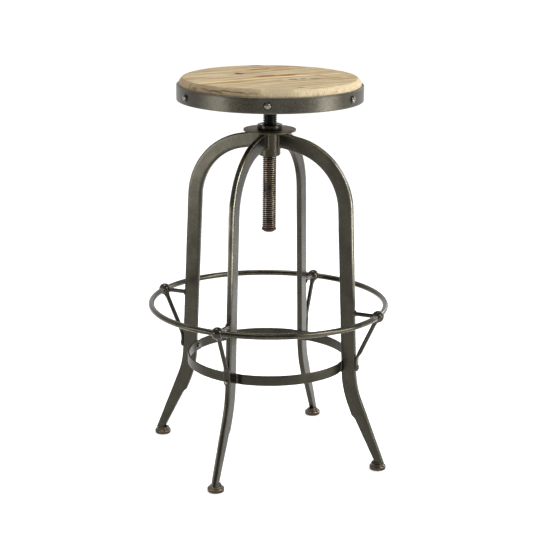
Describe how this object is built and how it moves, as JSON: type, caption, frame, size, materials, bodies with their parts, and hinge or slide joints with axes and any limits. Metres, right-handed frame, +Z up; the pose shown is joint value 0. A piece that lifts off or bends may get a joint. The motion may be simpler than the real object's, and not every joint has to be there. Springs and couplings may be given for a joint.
{
  "type": "swivel bar stool",
  "caption": "Backless bar stool: round plank seat on a threaded spindle that turns to set its height, four bent flat-bar legs, round foot rail and inner hoop.",
  "frame": {"origin": "on the floor, below the spindle's axis, midway between the four feet", "axes": "+Z up along the spindle; -Y towards the viewer of the picture, +X to the viewer's right"},
  "size_m": [0.4695, 0.4696, 0.7535],
  "materials": {
    "timber": "matt, reclaimed and waxed",
    "gunmetal": "darkened and lacquered, worn along its edges",
    "screw_steel": "dark and oiled, with a little rust in the thread",
    "rivet_steel": "darkened, polished on the domes",
    "worn_foot": "coppery brown, worn round the rim",
    "pad_rubber": "matt black"
  },
  "bodies": {
    "frame": {"spindle_nut": "screw_steel", "cover_plate": "gunmetal", "hub": "gunmetal", "leg_back_right": "gunmetal", "leg_back_left": "gunmetal", "leg_front_left": "gunmetal", "leg_front_right": "gunmetal", "foot_back_right": "worn_foot", "foot_back_left": "worn_foot", "foot_front_left": "worn_foot", "foot_front_right": "worn_foot", "foot_pad_back_right": "pad_rubber", "foot_pad_back_left": "pad_rubber", "foot_pad_front_left": "pad_rubber", "foot_pad_front_right": "pad_rubber", "foot_rail": "gunmetal", "hoop": "gunmetal", "leg_rivets": "rivet_steel", "rail_bracket_back_right": "gunmetal", "rail_bracket_back_left": "gunmetal", "rail_bracket_front_left": "gunmetal", "rail_bracket_front_right": "gunmetal", "brace_back_right": "gunmetal", "brace_back_left": "gunmetal", "brace_front_left": "gunmetal", "brace_front_right": "gunmetal"},
    "lift": {"stop_washer": "screw_steel"},
    "seat": {"seat_plank_front": "timber", "seat_plank_middle": "timber", "seat_plank_back": "timber", "seat_band": "gunmetal", "band_rivets": "rivet_steel", "seat_flange": "gunmetal", "flange_screws": "rivet_steel", "spindle_boss": "screw_steel", "spindle": "screw_steel", "stop_screw": "rivet_steel"}
  },
  "joints": [
    {"name": "seat_height", "type": "slide", "parent": "frame", "child": "lift", "axis": [0, 0, 1], "range_m": [-0.0287, 0.1421]},
    {"name": "seat_turn", "type": "hinge", "parent": "lift", "child": "seat", "pos_m": [0, 0, 0.7], "axis": [0, 0, 1], "range_deg": [-2574, 12780]}
  ],
  "couplings": [
    {"joint": "seat_height", "follows": "seat_turn", "m_per_rad": 0.00063662}
  ]
}
